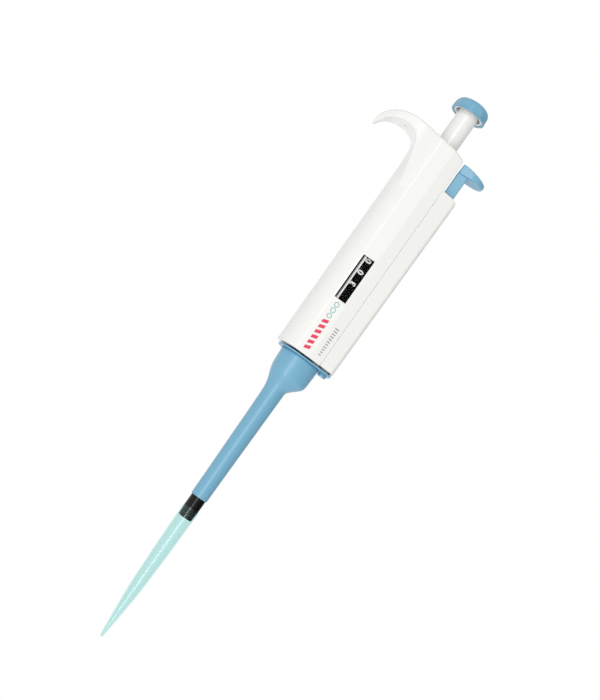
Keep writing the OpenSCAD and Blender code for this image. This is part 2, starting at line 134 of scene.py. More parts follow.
# %% Wire and Finish
class Wire:
    """A socket that can stand in a sum."""

    def __init__(self, owner, socket):
        self.owner = owner
        self.socket = socket

    def maths(self, operation, a, b):
        return self.owner.node("ShaderNodeMath", {"operation": operation}, [a, b])

    def __add__(self, other):
        return self.maths("ADD", self, other)

    def __sub__(self, other):
        return self.maths("SUBTRACT", self, other)

    def __mul__(self, other):
        return self.maths("MULTIPLY", self, other)

    def __rsub__(self, other):
        return self.maths("SUBTRACT", other, self)

    __radd__ = __add__
    __rmul__ = __mul__


class Tree:
    """A node tree. Its node method makes one node and feeds its sockets."""

    def __init__(self, tree):
        self.tree = tree

    def node(self, kind, settings=None, inputs=(), output=0):
        made = self.tree.nodes.new(kind)
        for key, value in (settings or {}).items():
            setattr(made, key, value)
        pairs = inputs.items() if isinstance(inputs, dict) else enumerate(inputs)
        for key, value in pairs:
            self.feed(made.inputs[key], value)
        return None if output is None else Wire(self, made.outputs[output])

    def feed(self, socket, value):
        if isinstance(value, Wire):
            self.tree.links.new(value.socket, socket)
        else:
            socket.default_value = value


class Finish(Tree):
    """A material with one Principled shader, built from sums of wires."""

    def __init__(self, name, **constants):
        self.material = bpy.data.materials.new(name)
        self.material.use_nodes = True
        super().__init__(self.material.node_tree)
        self.shader = self.tree.nodes["Principled BSDF"]
        for socket, value in constants.items():
            self.shader.inputs[socket.replace("_", " ")].default_value = value

    def place(self):
        """Object coordinates, in metres in the part's own frame."""
        return self.node("ShaderNodeTexCoord", output=3)

    def cloud(self, scale, detail=3.0, rough=0.55, stretch=(1, 1, 1)):
        """Soft noise between 0 and 1, with `scale` blotches to a metre."""
        at = self.node("ShaderNodeMapping", {}, {"Vector": self.place(), "Scale": stretch})
        return self.node("ShaderNodeTexNoise", {},
                         {"Vector": at, "Scale": scale, "Detail": detail, "Roughness": rough})

    def blend(self, amount, a, b):
        """Colour a where amount is 0 and colour b where it is 1."""
        return self.node("ShaderNodeMix", {"data_type": "RGBA"},
                         {0: amount, 6: a, 7: b}, output=2)

    def colour(self, value):
        self.feed(self.shader.inputs["Base Color"], value)

    def roughness(self, value):
        self.feed(self.shader.inputs["Roughness"], value)

    def bump(self, height, strength, distance):
        made = self.node("ShaderNodeBump", {},
                         {"Height": height, "Strength": strength, "Distance": distance})
        self.feed(self.shader.inputs["Normal"], made)

    def see_through(self, tint, solid):
        """Mixes a tinted see-through sheet with the Principled shader; solid is the latter's share."""
        sheet = self.node("ShaderNodeBsdfTransparent", {}, {"Color": tint})
        plastic = Wire(self, self.shader.outputs[0])
        both = self.node("ShaderNodeMixShader", {}, [solid, sheet, plastic])
        self.feed(self.tree.nodes["Material Output"].inputs["Surface"], both)


def rgb(red, green, blue, alpha=1.0):
    """A colour as it looks on a screen, from 0 to 255, turned into light."""
    def light(c):
        c = c / 255
        return c / 12.92 if c <= 0.04045 else ((c + 0.055) / 1.055) ** 2.4
    return (light(red), light(green), light(blue), alpha)


FINISHES = {}


def keep(slot, finish):
    FINISHES[slot] = finish.material
    print("finish", slot)


# %% [markdown]
# ## Moulded plastics
# The handle is glossy white plastic and the sleeve, knob and button are one blue. A real moulding
# is never quite even: the pigment drifts by a shade, the gloss has cloudy patches from handling,
# and the skin has a very fine orange peel. One function makes all of them from two close shades.

# %% White, blue and black plastic
def moulded(name, shade_a, shade_b, gloss, peel=0.06, spec=0.5, coat=0.0):
    made = Finish(name, Specular_IOR_Level=spec, Coat_Weight=coat, Coat_Roughness=0.06)
    drift = made.cloud(55)
    made.colour(made.blend(drift, shade_a, shade_b))
    wear = made.cloud(420, detail=2.0)
    made.roughness(gloss + (wear - 0.5) * 0.08 + (drift - 0.5) * 0.05)
    made.bump(made.cloud(1300, detail=1.0), peel, 0.00001)
    return made


keep("white_plastic", moulded("white_plastic", rgb(235, 235, 232), rgb(232, 232, 229), 0.27))
keep("blue_plastic", moulded("blue_plastic", rgb(114, 168, 195), rgb(110, 164, 191), 0.34))
keep("black_plastic", moulded("black_plastic", rgb(12, 12, 13), rgb(8, 7, 8), 0.16, 0.03, 0.2))
keep("dark_inner", moulded("dark_inner", rgb(40, 40, 42), rgb(30, 30, 32), 0.5))
keep("inner_plastic", moulded("inner_plastic", rgb(226, 222, 208), rgb(217, 212, 198), 0.42))
keep("drum_black", moulded("drum_black", rgb(17, 17, 19), rgb(10, 10, 11), 0.5, 0.03, 0.0))
keep("seal_rubber", moulded("seal_rubber", rgb(34, 35, 36), rgb(26, 27, 28), 0.62, 0.15, 0.3))

# %% [markdown]
# ## Clear plastics
# The tip is thin tinted polypropylene. It could be real refracting glass, but a wall under half a
# millimetre hardly bends light: what the eye sees is the background through a tint, a veil of
# colour where the wall is seen edge-on, and a hard white streak. So the outer wall is a tinted
# see-through sheet mixed with a thin mirror film, and with more of a teal film towards the edges and
# the thick upper end. The inner wall only tints. The window is the same with a grey tint.

# %% Tip and window
ALONG = (1, 1, 0.25)


def clear(name, tint, veil_shade, gloss, film, edge_film, fade=None):
    """A tinted sheet under a mirror film. The film is thickest edge-on and above the fade."""
    made = Finish(name, Metallic=1.0)
    edge = made.node("ShaderNodeLayerWeight", {}, {"Blend": 0.35}, output="Facing")
    share = edge * edge * edge_film
    if fade:
        height = made.node("ShaderNodeSeparateXYZ", {}, [made.place()], output=2)
        climb = made.node("ShaderNodeMapRange", {},
                          {"Value": height, "From Min": fade[0] * MM, "From Max": fade[1] * MM})
        share = share * (climb * 0.7 + 0.3)
    drift = made.cloud(70, stretch=ALONG)
    made.colour(made.blend(edge * 1.6 + (drift - 0.5) * 0.1, rgb(255, 255, 255), veil_shade))
    made.roughness(gloss + (drift - 0.5) * 0.04)
    made.see_through(tint, share + film)
    return made


TIP_TINT = (0.84, 0.94, 0.935, 1)
LENS_TINT = (0.97, 0.97, 0.97, 1)
TIP_FADE = (-58, -4)
keep("teal_tip", clear("teal_tip", TIP_TINT, rgb(70, 200, 192), 0.12, 0.035, 0.4, TIP_FADE))
keep("window_clear", clear("window_clear", LENS_TINT, rgb(16, 17, 19), 0.04, 0.003, 0.03))


def tint_only(name, pale, strong):
    made = Finish(name)
    drift = made.cloud(70, stretch=ALONG)
    made.colour(made.blend(drift, pale, strong))
    made.see_through(TIP_TINT, drift * 0.004)
    return made.material


TIP_INSIDE = tint_only("teal_inside", rgb(168, 222, 216), rgb(120, 205, 200))

# %% [markdown]
# ## Metals
# Springs, rods and clips are drawn or turned. Fine lines run round a turned part, so the noise is
# squeezed along the axis. Brass is used for the threaded sleeve.

# %% Steel and brass
def turned(name, shade_a, shade_b, gloss):
    made = Finish(name, Metallic=1.0)
    lines = made.cloud(900, stretch=(0.15, 0.15, 6.0))
    made.colour(made.blend(lines, shade_a, shade_b))
    made.roughness(gloss + (lines - 0.5) * 0.18)
    made.bump(lines, 0.12, 0.00003)
    return made


keep("steel", turned("steel", rgb(196, 198, 202), rgb(176, 178, 184), 0.28))
keep("brass", turned("brass", rgb(206, 172, 96), rgb(188, 152, 80), 0.3))

# %% [markdown]
# ## Inks
# The digits and the plain marks on the handle are pad printed: a thin, slightly uneven film. The
# white and grey inks also draw the painted highlight and painted reflection strips behind the lens.

# %% Inks
def ink(name, shade, thin):
    made = Finish(name)
    fleck = made.cloud(2200, detail=4.0)
    made.colour(made.blend(fleck, shade, thin))
    made.roughness(0.38 + (fleck - 0.5) * 0.15)
    made.bump(fleck, 0.05, 0.00002)
    return made.material


WHITE_INK_AND_PAINTED_HIGHLIGHT = ink("white_ink_and_painted_highlight", rgb(246, 246, 244), rgb(232, 232, 230))
INK_RED = ink("ink_red", rgb(214, 32, 66), rgb(226, 62, 92))
INK_TEAL = ink("ink_teal", rgb(96, 160, 156), rgb(128, 182, 178))
GREY_INK_AND_PAINTED_REFLECTION = ink("grey_ink_and_painted_reflection", rgb(150, 152, 152), rgb(170, 172, 172))

# %% [markdown]
# ## The inner parts
# Gears, springs, rods and rings hide inside the handle, so their measured shapes serve as they are.
# Each only needs the finish that the frame names for it.

# %% Dress the parts that keep their frame shape
slot_of = {s["node"]: s["material_slot"] for s in frame["record"]["subparts"]}
for node, piece in frame["nodes"].items():
    piece.data.materials.clear()
    piece.data.materials.append(FINISHES[slot_of[node]])
print("dressed", len(slot_of), "parts")

# %% [markdown]
# ## Putting a shape in the scene
# A piece is made from points and faces, gets its finish, rides on the body it belongs to and hides
# the frame part that it stands for. Weighted normals keep flat faces flat next to small rounds.

# %% Piece helpers
def piece_from(name, points, faces, body, slot, stands_for=None, material=None, weighted=True):
    mesh = bpy.data.meshes.new(name)
    mesh.from_pydata([tuple(np.array(p) * MM) for p in points], [], faces)
    mesh.validate()
    mesh.polygons.foreach_set("use_smooth", [True] * len(mesh.polygons))
    mesh.update()
    made = put(name, mesh)
    tidy_normals(made)
    if weighted:
        modifier = made.modifiers.new("normals", "WEIGHTED_NORMAL")
        modifier.keep_sharp = True
    return dress(made, body, slot, stands_for, material)


def tidy_normals(made):
    work = bmesh.new()
    work.from_mesh(made.data)
    bmesh.ops.recalc_face_normals(work, faces=work.faces)
    work.to_mesh(made.data)
    work.free()


def dress(made, body, slot, stands_for=None, material=None):
    made.data.materials.clear()
    made.data.materials.append(material or FINISHES[slot])
    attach(made, body)
    if stands_for:
        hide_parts(stands_for)
    print("made", made.name, len(made.data.polygons), "faces")
    return made


def fillet(points, radius, steps=4):
    """Rounds the inner corners of a chain of points by about radius."""
    points = [np.array(p, float) for p in points]
    out = [points[0]]
    for before, here, after in zip(points, points[1:], points[2:]):
        a = before - here
        b = after - here
        reach = min(radius, np.linalg.norm(a) * 0.45, np.linalg.norm(b) * 0.45)
        start = here + a / np.linalg.norm(a) * reach
        stop = here + b / np.linalg.norm(b) * reach
        for t in np.linspace(0, 1, steps):
            out.append((1 - t) ** 2 * start + 2 * t * (1 - t) * here + t * t * stop)
    return out + [points[-1]]


def rings_to_faces(rows, columns, close_rows):
    faces = []
    for i in range(rows if close_rows else rows - 1):
        for j in range(columns):
            a = i * columns + j
            b = i * columns + (j + 1) % columns
            step = ((i + 1) % rows) * columns - i * columns
            faces.append((a, b, b + step, a + step))
    return faces


def lathe(name, profile, body, slot, stands_for=None, turns=96, material=None):
    """Turned part from a closed profile of (radius, height) points."""
    angles = np.arange(turns) * 2 * math.pi / turns
    points = [(r * math.cos(a), r * math.sin(a), z) for r, z in profile for a in angles]
    faces = rings_to_faces(len(profile), turns, True)
    return piece_from(name, points, faces, body, slot, stands_for, material)


def closed_fillet(profile, radius, steps=4):
    """Rounds every corner of a closed profile."""
    profile = [np.array(p, float) for p in profile]
    chain = [profile[-1]] + profile + [profile[0]]
    return fillet(chain, radius, steps)[1:-1]


def prism(name, outline, low, high, bevel, body, slot, stands_for=None, material=None):
    """Plate or block with an outline in X and Y and rounded edges."""
    work = bmesh.new()
    corners = [work.verts.new((x * MM, y * MM, low * MM)) for x, y in outline]
    base = work.faces.new(corners)
    grown = bmesh.ops.extrude_face_region(work, geom=[base])["geom"]
    lifted = [g for g in grown if isinstance(g, bmesh.types.BMVert)]
    bmesh.ops.translate(work, verts=lifted, vec=(0, 0, (high - low) * MM))
    bmesh.ops.recalc_face_normals(work, faces=work.faces)
    if bevel:
        rims = [e for e in work.edges if abs(e.verts[0].co.z - e.verts[1].co.z) < 1e-7]
        sharp = [e for e in work.edges if e not in rims and e.calc_face_angle(0) > 0.5]
        bmesh.ops.bevel(work, geom=rims + sharp, offset=bevel * MM, segments=3, profile=0.5,
                        affect="EDGES", clamp_overlap=True)
    mesh = bpy.data.meshes.new(name)
    work.to_mesh(mesh)
    work.free()
    mesh.polygons.foreach_set("use_smooth", [True] * len(mesh.polygons))
    made = put(name, mesh)
    modifier = made.modifiers.new("normals", "WEIGHTED_NORMAL")
    modifier.keep_sharp = True
    return dress(made, body, slot, stands_for, material)


# %% [markdown]
# ## Skinning a distance field
# The handle flows into its finger hook, which no single lathe or extrusion can make. A distance
# field can: each wall is a simple function that is negative inside, and a smooth maximum of them
# gives a solid with rounded edges. The skin starts as one point in every grid cell that the
# surface crosses, and each point is then slid down the field's slope until it lies on the surface.

# %% Field helpers
def smax(a, b, soft):
    """Larger of two fields, with the edge between them rounded."""
    h = np.clip(0.5 + 0.5 * (a - b) / soft, 0, 1)
    return b + (a - b) * h + soft * h * (1 - h)


def smin(a, b, soft):
    return -smax(-a, -b, soft)


def slope(field, points):
    """Field values and gradients at scattered points."""
    step = 0.02
    grads = []
    for axis in range(3):
        shift = np.zeros(3)
        shift[axis] = step
        ahead = field(*(points + shift).T)
        back = field(*(points - shift).T)
        grads.append((ahead - back) / (2 * step))
    return field(*points.T), np.stack(grads, 1)


def slide_on(field, points, rounds):
    for _ in range(rounds):
        value, grad = slope(field, points)
        size = np.maximum((grad ** 2).sum(1), 0.05)
        points = points - np.clip(value / size, -0.6, 0.6)[:, None] * grad
    return points


def skin(field, low, high, step):
    """Points and four-sided faces of the surface where the field is zero."""
    low = np.array(low, float)
    count = np.ceil((np.array(high) - low) / step).astype(int) + 1
    axes = [low[i] + step * np.arange(count[i]) for i in range(3)]
    inside = field(*np.meshgrid(*axes, indexing="ij")) < 0
    cells = tuple(count - 1)
    filled = sum(inside[i:i + cells[0], j:j + cells[1], k:k + cells[2]].astype(np.int8)
                 for i in (0, 1) for j in (0, 1) for k in (0, 1))
    active = (filled > 0) & (filled < 8)
    number = np.full(cells, -1)
    number[active] = np.arange(active.sum())
    points = low + (np.argwhere(active) + 0.5) * step
    faces = []
    for axis in range(3):
        others = [a for a in range(3) if a != axis]
        near = np.take(inside, range(cells[axis]), axis)
        far = np.take(inside, range(1, cells[axis] + 1), axis)
        edges = np.argwhere(near != far)
        keep_rows = np.all([(edges[:, o] > 0) & (edges[:, o] < count[o] - 1) for o in others], 0)
        edges = edges[keep_rows]
        ring = []
        for du, dv in ((-1, -1), (0, -1), (0, 0), (-1, 0)):
            cell = edges.copy()
            cell[:, others[0]] += du
            cell[:, others[1]] += dv
            ring.append(number[tuple(cell.T)])
        ring = np.stack(ring, 1)
        outward = near[tuple(edges.T)] ^ (axis == 1)
        ring[~outward] = ring[~outward][:, ::-1]
        faces.append(ring)
    faces = np.concatenate(faces)
    for _ in range(3):
        points = slide_on(field, points, 2)
        total = np.zeros_like(points)
        hits = np.zeros(len(points))
        for a in range(4):
            for b in (1, 3):
                np.add.at(total, faces[:, a], points[faces[:, (a + b) % 4]])
                np.add.at(hits, faces[:, a], 1)
        points = points * 0.5 + total / hits[:, None] * 0.5
    return slide_on(field, points, 4), faces


def field_normals(made, field):
    """Shades a skinned piece by its field's slope, and cut faces by their own direction."""
    mesh = made.data
    points = np.empty(len(mesh.vertices) * 3)
    mesh.vertices.foreach_get("co", points)
    value, grad = slope(field, points.reshape(-1, 3) / MM)
    grad = grad / np.maximum(np.linalg.norm(grad, axis=1), 1e-9)[:, None]
    face_normals = np.empty(len(mesh.polygons) * 3)
    mesh.polygons.foreach_get("normal", face_normals)
    sizes = np.empty(len(mesh.polygons), int)
    mesh.polygons.foreach_get("loop_total", sizes)
    corners = np.empty(len(mesh.loops), int)
    mesh.loops.foreach_get("vertex_index", corners)
    flat = np.repeat(face_normals.reshape(-1, 3), sizes, 0)
    smooth = grad[corners]
    on_skin = (np.abs(value[corners]) < 0.06) & ((smooth * flat).sum(1) > 0.7)
    mesh.normals_split_custom_set(np.where(on_skin[:, None], smooth, flat).tolist())


def moulding(name, field, low, high, step, body, slot, stands_for=None):
    points, faces = skin(field, low, high, step)
    made = piece_from(name, points, faces.tolist(), body, slot, stands_for, weighted=False)
    field_normals(made, field)
    return made


def cut(target, cutter):
    """Cuts a closed shape out of a piece and throws the cutter away."""
    modifier = target.modifiers.new("cut", "BOOLEAN")
    modifier.operation = "DIFFERENCE"
    modifier.solver = "MANIFOLD"
    modifier.object = cutter
    graph = bpy.context.evaluated_depsgraph_get()
    result = bpy.data.meshes.new_from_object(target.evaluated_get(graph))
    if len(result.polygons) == 0 or len(result.polygons) == len(target.data.polygons):
        modifier.solver = "EXACT"
        graph = bpy.context.evaluated_depsgraph_get()
        result = bpy.data.meshes.new_from_object(target.evaluated_get(graph))
        print("exact cut used on", target.name)
    target.modifiers.remove(modifier)
    old = target.data
    target.data = result
    bpy.data.meshes.remove(old)
    bpy.data.objects.remove(cutter)


def block(outline, low, high):
    """Plain closed block used only as a cutter."""
    count = len(outline)
    points = [(x * MM, y * MM, z * MM) for z in (low, high) for x, y in outline]
    faces = [tuple(range(count))[::-1], tuple(range(count, 2 * count))]
    faces += [(i, (i + 1) % count, count + (i + 1) % count, count + i) for i in range(count)]
    mesh = bpy.data.meshes.new("cutter")
    mesh.from_pydata(points, [], faces)
    mesh.validate()
    made = put("cutter", mesh)
    tidy_normals(made)
    return made


def circle(radius, x=0.0, y=0.0, steps=96):
    return [(x + radius * math.cos(a), y + radius * math.sin(a))
            for a in np.arange(steps) * 2 * math.pi / steps]


def curve_through(points, steps=10):
    """Smooth chain through a few points (Catmull-Rom)."""
    p = [np.array(q, float) for q in points]
    out = []
    for i in range(len(p) - 1):
        a, b, c, d = p[max(i - 1, 0)], p[i], p[i + 1], p[min(i + 2, len(p) - 1)]
        for t in np.arange(steps) / steps:
            out.append(0.5 * (2 * b + (c - a) * t + (2 * a - 5 * b + 4 * c - d) * t ** 2
                              + (3 * b - a - 3 * c + d) * t ** 3))
    return np.array(out + [p[-1]])


def inside_polygon(x, z, polygon):
    """Signed distance to a closed polygon in two coordinates, negative inside."""
    shape = x.shape
    x, z = x.ravel(), z.ravel()
    best = np.full(x.shape, 1e9)
    within = np.zeros(x.shape, bool)
    for (ax, az), (bx, bz) in zip(polygon, np.roll(polygon, -1, 0)):
        ex, ez = bx - ax, bz - az
        along = np.clip(((x - ax) * ex + (z - az) * ez) / max(ex * ex + ez * ez, 1e-9), 0, 1)
        best = np.minimum(best, (x - ax - ex * along) ** 2 + (z - az - ez * along) ** 2)
        crosses = (az > z) != (bz > z)
        side = (bx - ax) * (z - az) / (bz - az if bz != az else 1e-9) + ax
        within ^= crosses & (x < side)
    return np.where(within, -1, 1).reshape(shape) * np.sqrt(best).reshape(shape)


# %% [markdown]
# ## The handle
# Seen from above, the handle is round on the hook side and goes over two flats, the display flat
# and a sloping one, to a straight seam. From the side its top is one low arch that runs out into
# the hook. The hook tapers to a rounded point in plan and is hollowed underneath for a finger.

# %% Handle field
HOUSE_R = 12.5
FACET_A, FACET_B = np.array([-3.0, -12.13]), np.array([4.3, -11.2])
SEAM = np.array([10.1, -9.1])
STRIP = np.array([16.45, -7.0])


def wall_line(a, b):
    """Unit normal and distance of a side wall through two plan points on the window side."""
    along = (b - a) / np.linalg.norm(b - a)
    normal = np.array([along[1], -along[0]])
    return normal, float(normal @ a)


DISPLAY_N, DISPLAY_D = wall_line(FACET_A, FACET_B)
SLOPE_N, SLOPE_D = wall_line(FACET_B, SEAM)
STRIP_N, STRIP_D = wall_line(SEAM, STRIP)


def handle_walls(x, y, inset=0.0, soft=0.07):
    """Section of the handle without its seam wall. The back mirrors the window side."""
    ay = -np.abs(y)
    body = np.hypot(np.minimum(x, 0), y) - HOUSE_R
    display = DISPLAY_N[0] * x + DISPLAY_N[1] * ay - DISPLAY_D
    sloping = SLOPE_N[0] * x + SLOPE_N[1] * ay - SLOPE_D
    return smax(smax(body, display, soft), sloping, soft) + inset


ARCH = curve_through([(-33.9, 195.0), (-33.5, 197.6), (-32, 200.6), (-29.4, 203), (-26, 204.6),
                      (-22, 205.5), (-18, 205.7), (-13.6, 205.2), (-10, 204.6), (-4.9, 203.1),
                      (0, 202.4), (5, 201.8), (10.1, 200.4), (14, 198.6)], 5)
UNDER = curve_through([(-7.0, 178), (-8.8, 184), (-10.8, 190), (-13.1, 196.4), (-16, 200.1),
                       (-21, 201.35), (-25.5, 200.8), (-28.5, 199.3), (-31, 196.9),
                       (-32.2, 194.6)], 5)
BELOW_ARCH = np.concatenate([ARCH, [(14, 60), (-33.9, 60)]])
HOOK_SIDE = np.concatenate([[(-6, 178)], UNDER, [(-32.7, 193.9), (-33.5, 193.9), (-34.5, 195.5),
                                                 (-36, 215), (-6, 215)]])
HOOK_PLAN = curve_through([(-34.0, 0), (-33.4, 1.7), (-31, 3.2), (-28.5, 4.7), (-26, 6.0),
                           (-21, 7.5), (-16, 8.4), (-11, 9.0), (-5, 9.6)], 5)
HOOK_TOP_VIEW = np.concatenate([HOOK_PLAN, HOOK_PLAN[::-1] * [1, -1]])


HOOK_FROM, ROOM_TOP, FAR = 172, 215.0, 50.0
SEAM_EDGE, HOOK_EDGE, HOOK_ROOT, ARCH_EDGE, FOOT_EDGE = 0.18, 0.6, 3.2, 1.1, 0.4


def handle_field(x, y, z):
    """The hook and the arch are worked out only near the top, where they matter."""
    body = smax(handle_walls(x, y), x - SEAM[0], SEAM_EDGE)
    near = z > HOOK_FROM
    hook = np.full(x.shape, FAR)
    plan = inside_polygon(x[near], y[near], HOOK_TOP_VIEW)
    side = inside_polygon(x[near], z[near], HOOK_SIDE)
    hook[near] = smax(plan, side, HOOK_EDGE)
    whole = smin(body, hook, HOOK_ROOT)
    above = z - ROOM_TOP
    above[near] = inside_polygon(x[near], z[near], BELOW_ARCH)
    whole = smax(whole, above, ARCH_EDGE)
    return smax(whole, HOUSE_LOW - z, FOOT_EDGE)


# %% Handle
HANDLE_CELL = 0.55
handle = moulding("handle", handle_field, (-36, -14, 87), (12, 14, 208), HANDLE_CELL,
                  "housing", "white_plastic", "housing")

# %% [markdown]
# The hollow, the hole for the stem, the window and the little moulding slot under the hook have
# crisp edges, so they are cut out afterwards as plain blocks. The window sits in a shallow flat
# pocket turned to match the display flat.

# %% Hollow and openings
WALL, FOOT_WALL, CHANNEL_X, CHANNEL_Y, CAVITY_TOP = 1.5, 1.7, 9.2, -8.0, 198.5
CONE_HOLE_R, STEM_HOLE_R, CUT_TOP = 6.7, 6.2, 210


def cavity_outline():
    arc_end = math.acos(-FACET_A[0] / HOUSE_R)
    arc = [((HOUSE_R - WALL) * math.cos(a), (HOUSE_R - WALL) * math.sin(a))
           for a in np.linspace(math.pi, math.pi + arc_end, 16)]
    front = arc + [(FACET_B[0], FACET_B[1] + WALL), (CHANNEL_X, CHANNEL_Y)]
    return front + [(x, -y) for x, y in front[::-1][:-1]]


DISPLAY_TILT = math.atan2(FACET_B[1] - FACET_A[1], FACET_B[0] - FACET_A[0])
DISPLAY_MID = (FACET_A + FACET_B) / 2


def on_display(u, out, z=None):
    """Plan point on the display flat: u to the right of its middle, out in front of it."""
    along = np.array([math.cos(DISPLAY_TILT), math.sin(DISPLAY_TILT)])
    away = np.array([along[1], -along[0]])
    x, y = DISPLAY_MID + u * along + out * away
    return (x, y) if z is None else (x, y, z)


def display_block(u0, u1, back, out, low, high):
    return block([on_display(u0, -back), on_display(u1, -back), on_display(u1, out),
                  on_display(u0, out)], low, high)


LENS_HALF, POCKET_HALF, POCKET, CLEAR = 2.95, 6.2, 0.27, 3
SLOT_LEFT, SLOT_RIGHT, SLOT_HALF, SLOT_LOW, SLOT_TOP = -21.5, -19.3, 0.45, 199, 202.6
cut(handle, block(cavity_outline(), HOUSE_LOW + FOOT_WALL, CAVITY_TOP))
cut(handle, block(circle(CONE_HOLE_R), HOUSE_LOW - 2, HOUSE_LOW + CLEAR))
cut(handle, block(circle(STEM_HOLE_R), CAVITY_TOP - 1, CUT_TOP))
cut(handle, display_block(-POCKET_HALF, POCKET_HALF, POCKET, CLEAR, LENS_LOW - 0.75, LENS_TOP + 0.8))
cut(handle, display_block(-LENS_HALF, LENS_HALF, 6, CLEAR, LENS_LOW, LENS_TOP))
cut(handle, block([(SLOT_LEFT, -SLOT_HALF), (SLOT_RIGHT, -SLOT_HALF),
                   (SLOT_RIGHT, SLOT_HALF), (SLOT_LEFT, SLOT_HALF)], SLOT_LOW, SLOT_TOP))
field_normals(handle, handle_field)
print("handle after cuts:", len(handle.data.polygons), "faces")

# %% [markdown]
# ## The ejector cover
# The strip right of the seam is a thin channel that hides the ejector's rod. Its outer wall bows
# gently and leans out towards the top, and its upper outer corner is rounded off.

# %% Cover
BOW_R, COVER_REACH, COVER_LEAN, COVER_WALL = 26.0, 17.5, 1.15 / 94.9, 1.1
CORNER_X, CORNER_N, SEAM_GAP = 17.0, (0.62, 0.78), 0.03


def cover_walls(x, y, z, inset):
    ay = -np.abs(y)
    side = STRIP_N[0] * x + STRIP_N[1] * ay - STRIP_D + inset
    lean = COVER_REACH + (z - HOUSE_LOW) * COVER_LEAN
    bow = np.hypot(x - (lean - BOW_R), y) - BOW_R + inset
    return smax(side, bow, 0.9)


def cover_field(x, y, z):
    top = z - COVER_TOP
    corner = (x - CORNER_X) * CORNER_N[0] + (z - COVER_TOP) * CORNER_N[1]
    outer = smax(cover_walls(x, y, z, 0), smax(top, corner, 1.2), 0.3)
    outer = smax(outer, smax(SEAM[0] + SEAM_GAP - x, HOUSE_LOW - z, 0.1), 0.1)
    return smax(outer, -cover_walls(x, y, z, COVER_WALL), 0.25)


moulding("cover", cover_field, (9.3, -11, 88.5), (20, 11, 186), 0.45,
         "housing", "white_plastic", "ejector_cover")

# %% [markdown]
# Inside the channel a small ledge carries the ejector spring, with a hole for the rod.

# %% Spring ledge
ROD_X = (ROD_LOW[0] + ROD_HIGH[0]) / 2
LEDGE_LEFT, LEDGE_RIGHT, LEDGE_HALF, LEDGE_H = 10.2, 16.2, 3.9, 2.5
LEDGE_TOP, ROD_HOLE_R = ROD_LOW[2], 1.65
ledge = prism("spring_ledge", [(LEDGE_LEFT, -LEDGE_HALF), (LEDGE_RIGHT, -LEDGE_HALF),
                               (LEDGE_RIGHT, LEDGE_HALF), (LEDGE_LEFT, LEDGE_HALF)],
              LEDGE_TOP - LEDGE_H, LEDGE_TOP, 0.2, "housing", "white_plastic")
cut(ledge, block(circle(ROD_HOLE_R, ROD_X, 0, 48), LEDGE_TOP - 4, LEDGE_TOP + 2))

# %% [markdown]
# ## The ejector sleeve
# The blue sleeve is a long slim tube that swells towards the handle, more on the button's side,
# where it ends in a straight ramp. It is lofted: each ring has its own reach to the left, to the
# right and in depth. The wall is 0.4 to 0.9 mm, so the loft goes up outside and down inside.

# %% Sleeve
SLEEVE_TURNS = 96


def sleeve_ring(left, right, deep, z):
    ring = []
    for a in np.arange(SLEEVE_TURNS) * 2 * math.pi / SLEEVE_TURNS:
        reach = right if math.cos(a) > 0 else left
        ring.append((reach * math.cos(a), deep * math.sin(a), z))
    return ring


PLATE_H = 0.7
OUTSIDE = [(4.02, 4.02, 4.02, COLLAR_LOW), (4.1, 4.1, 4.1, COLLAR_LOW + 0.1),
           (4.13, 4.13, 4.13, 14.3), (4.2, 4.2, 4.2, 21.7), (4.26, 4.26, 4.26, 28.7),
           (4.36, 4.36, 4.36, 36), (4.46, 4.46, 4.46, 43.7), (4.56, 4.56, 4.56, 51.7),
           (4.66, 4.66, 4.66, 60), (4.8, 4.74, 4.8, 66), (5.0, 4.8, 5.0, 69.2),
           (5.4, 5.0, 5.4, 71.2), (5.85, 6.3, 5.9, 72.8), (6.5, 8.4, 6.7, 74.7),
           (7.1, 10.0, 7.4, 76.3), (7.5, 10.6, 7.9, 77.6), (7.9, 10.85, 8.2, 79.5),
           (8.2, 11.0, 8.5, 83), (8.5, 11.2, 8.75, FLANGE_TOP - PLATE_H)]
INSIDE = [(7.7, 10.3, 7.9, FLANGE_TOP - PLATE_H), (7.3, 10.0, 7.6, 80), (6.4, 8.9, 6.7, 76.6),
          (5.2, 6.2, 5.3, 73.4), (3.725, 3.725, 3.725, 70), (3.725, 3.725, 3.725, 40),
          (3.725, 3.725, 3.725, COLLAR_LOW + 0.3), (3.8, 3.8, 3.8, COLLAR_LOW)]


def eased(stations, steps):
    """More rings between the stations, on smooth curves."""
    return [tuple(s) for s in curve_through(stations, steps)]


sleeve_rings = eased(OUTSIDE[:2], 1) + eased(OUTSIDE[2:], 4) + eased(INSIDE[:5], 3) + INSIDE[5:]
sleeve_points = [p for s in sleeve_rings for p in sleeve_ring(*s)]
piece_from("sleeve", sleeve_points, rings_to_faces(len(sleeve_rings), SLEEVE_TURNS, True),
           "ejector", "blue_plastic", "ejector_collar")


def plate_outline(inset, reach):
    arc_end = math.acos(-FACET_A[0] / HOUSE_R)
    r = HOUSE_R - inset
    arc = [(r * math.cos(a), r * math.sin(a)) for a in np.linspace(math.pi, math.pi + arc_end, 16)]
    front = arc + [(FACET_B[0], FACET_B[1] + inset), (SEAM[0], SEAM[1] + inset),
                   (reach - 0.8, STRIP[1] + inset), (reach, STRIP[1] + inset + 1.2)]
    return front + [(x, -y) for x, y in front[::-1][:-1]]


PLATE_INSET, PLATE_REACH, PLATE_BEVEL, PLATE_HOLE_R = 1.6, 17.0, 0.15, 7.3
flange = prism("sleeve_flange", plate_outline(PLATE_INSET, PLATE_REACH), FLANGE_TOP - PLATE_H,
               FLANGE_TOP, PLATE_BEVEL, "ejector", "blue_plastic")
cut(flange, block(circle(PLATE_HOLE_R, 0.2, 0), FLANGE_TOP - 3, FLANGE_TOP + 2))

# %% [markdown]
# A short blue ring under the flange stands round the head of the screw that holds the rod.

